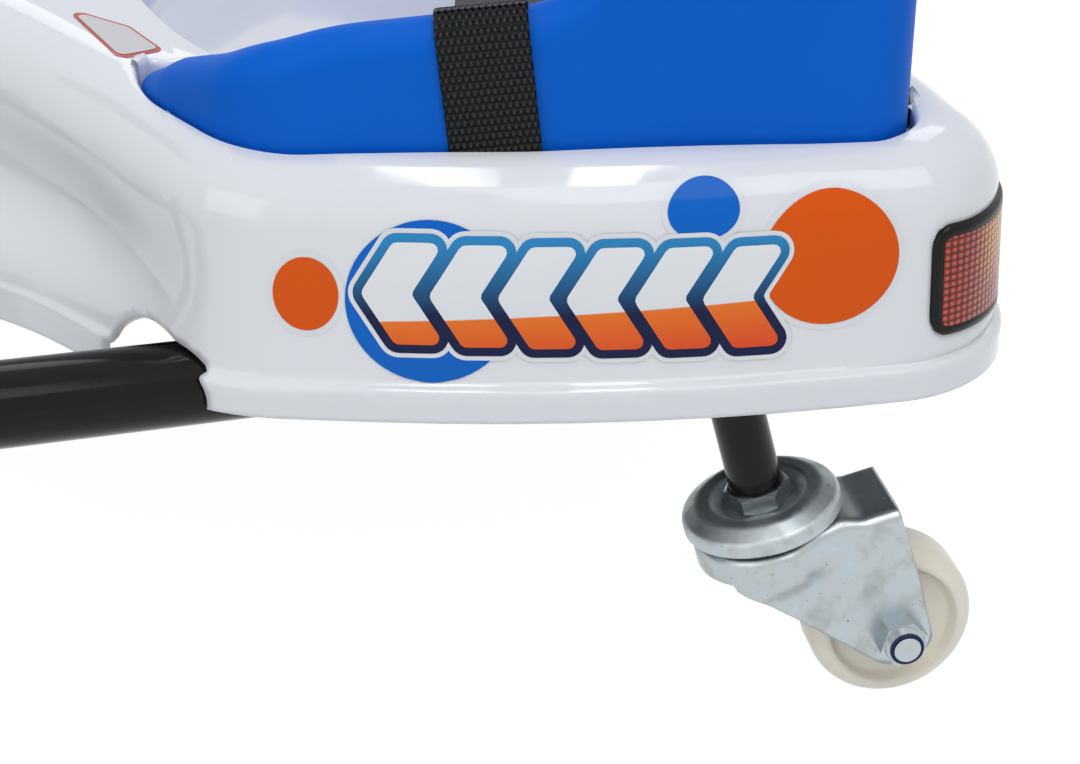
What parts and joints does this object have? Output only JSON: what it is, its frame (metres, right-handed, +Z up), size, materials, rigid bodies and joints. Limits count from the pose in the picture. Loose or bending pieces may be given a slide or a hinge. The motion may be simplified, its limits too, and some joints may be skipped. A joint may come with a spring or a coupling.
{
  "type": "electric drift kart",
  "caption": "Small ride-on electric drift kart: white shell tub, bucket seat with lap belt, side tubes, steered hub-motor front wheels and swivel casters at the rear.",
  "frame": {"origin": "floor level under the middle of the overall length and width", "axes": "+X forward, +Y to the kart's left, +Z up"},
  "size_m": [0.8733, 0.51, 0.4821],
  "materials": {
    "white_shell": "gloss",
    "blue_seat": "satin",
    "webbing": "woven",
    "black_plastic": "satin",
    "black_steel": "gloss",
    "zinc_steel": "zinc plated",
    "ivory_nylon": "satin",
    "lamp_red": "gloss",
    "aluminium": "satin",
    "tyre_rubber": "matte"
  },
  "bodies": {
    "chassis": {"battery_pack": "black_plastic", "belt_buckle": "black_plastic", "body_shell": "white_shell", "bumper_caps": "black_plastic", "caster_cups": "zinc_steel", "caster_stem_nuts": "zinc_steel", "caster_stem_tubes": "black_steel", "caster_stems": "zinc_steel", "column_bracket": "black_steel", "controller_box": "aluminium", "dash_panel": "black_plastic", "foot_rests": "black_steel", "frame_main": "black_steel", "front_bumper": "black_steel", "front_cowl": "white_shell", "kingpins": "zinc_steel", "lap_belt": "webbing", "seat": "blue_seat", "seat_support": "black_steel", "shell_brackets": "black_steel", "side_tube_left": "black_steel", "side_tube_right": "black_steel", "tail_lamps": "lamp_red", "throttle_pedal": "black_plastic"},
    "steering": {"steering_column": "black_steel", "steering_wheel": "black_plastic", "horn_pad": "blue_seat"},
    "knuckle_left": {"knuckle_left": "black_steel", "stub_axle_left": "zinc_steel"},
    "knuckle_right": {"knuckle_right": "black_steel", "stub_axle_right": "zinc_steel"},
    "link": {"tie_rod": "zinc_steel"},
    "front_wheel_left": {"hub_motor_left": "aluminium", "front_tyre_left": "tyre_rubber"},
    "front_wheel_right": {"hub_motor_right": "aluminium", "front_tyre_right": "tyre_rubber"},
    "caster_swivel_left": {"caster_fork_left": "zinc_steel", "caster_bolt_left": "zinc_steel", "caster_locknut_left": "zinc_steel"},
    "caster_swivel_right": {"caster_fork_right": "zinc_steel", "caster_bolt_right": "zinc_steel", "caster_locknut_right": "zinc_steel"},
    "caster_roll_left": {"caster_wheel_left": "ivory_nylon"},
    "caster_roll_right": {"caster_wheel_right": "ivory_nylon"}
  },
  "joints": [
    {"name": "steering_turn", "type": "hinge", "parent": "chassis", "child": "steering", "pos_m": [0.08229, 0, 0.41386], "axis": [-0.5299, 0, 0.848], "range_deg": [-28, 28]},
    {"name": "left_wheel_steer", "type": "hinge", "parent": "chassis", "child": "knuckle_left", "pos_m": [0.25, 0.165, 0.1], "axis": [0, 0, 1], "range_deg": [-28, 28]},
    {"name": "right_wheel_steer", "type": "hinge", "parent": "chassis", "child": "knuckle_right", "pos_m": [0.25, -0.165, 0.1], "axis": [0, 0, 1], "range_deg": [-28, 28]},
    {"name": "tie_rod_swing", "type": "hinge", "parent": "knuckle_left", "child": "link", "pos_m": [0.21, 0.165, 0.134], "axis": [0, 0, 1], "range_deg": [-28, 28]},
    {"name": "left_front_wheel_spin", "type": "hinge", "parent": "knuckle_left", "child": "front_wheel_left", "pos_m": [0.25, 0.225, 0.1], "axis": [0, 1, 0], "continuous": true},
    {"name": "right_front_wheel_spin", "type": "hinge", "parent": "knuckle_right", "child": "front_wheel_right", "pos_m": [0.25, -0.225, 0.1], "axis": [0, 1, 0], "continuous": true},
    {"name": "left_caster_swivel", "type": "hinge", "parent": "chassis", "child": "caster_swivel_left", "pos_m": [-0.367, 0.159, 0.0662], "axis": [0.2487, 0, 0.9686], "continuous": true},
    {"name": "right_caster_swivel", "type": "hinge", "parent": "chassis", "child": "caster_swivel_right", "pos_m": [-0.367, -0.159, 0.0662], "axis": [0.2487, 0, 0.9686], "continuous": true},
    {"name": "left_caster_spin", "type": "hinge", "parent": "caster_swivel_left", "child": "caster_roll_left", "pos_m": [-0.40645, 0.15405, 0.02543], "axis": [-0.1682, 0.9848, 0.0432], "continuous": true},
    {"name": "right_caster_spin", "type": "hinge", "parent": "caster_swivel_right", "child": "caster_roll_right", "pos_m": [-0.40645, -0.15405, 0.02543], "axis": [-0.1682, -0.9848, 0.0432], "continuous": true}
  ],
  "couplings": [
    {"joint": "left_wheel_steer", "follows": "steering_turn", "ratio": 1},
    {"joint": "right_wheel_steer", "follows": "steering_turn", "ratio": 1},
    {"joint": "tie_rod_swing", "follows": "steering_turn", "ratio": -1}
  ]
}
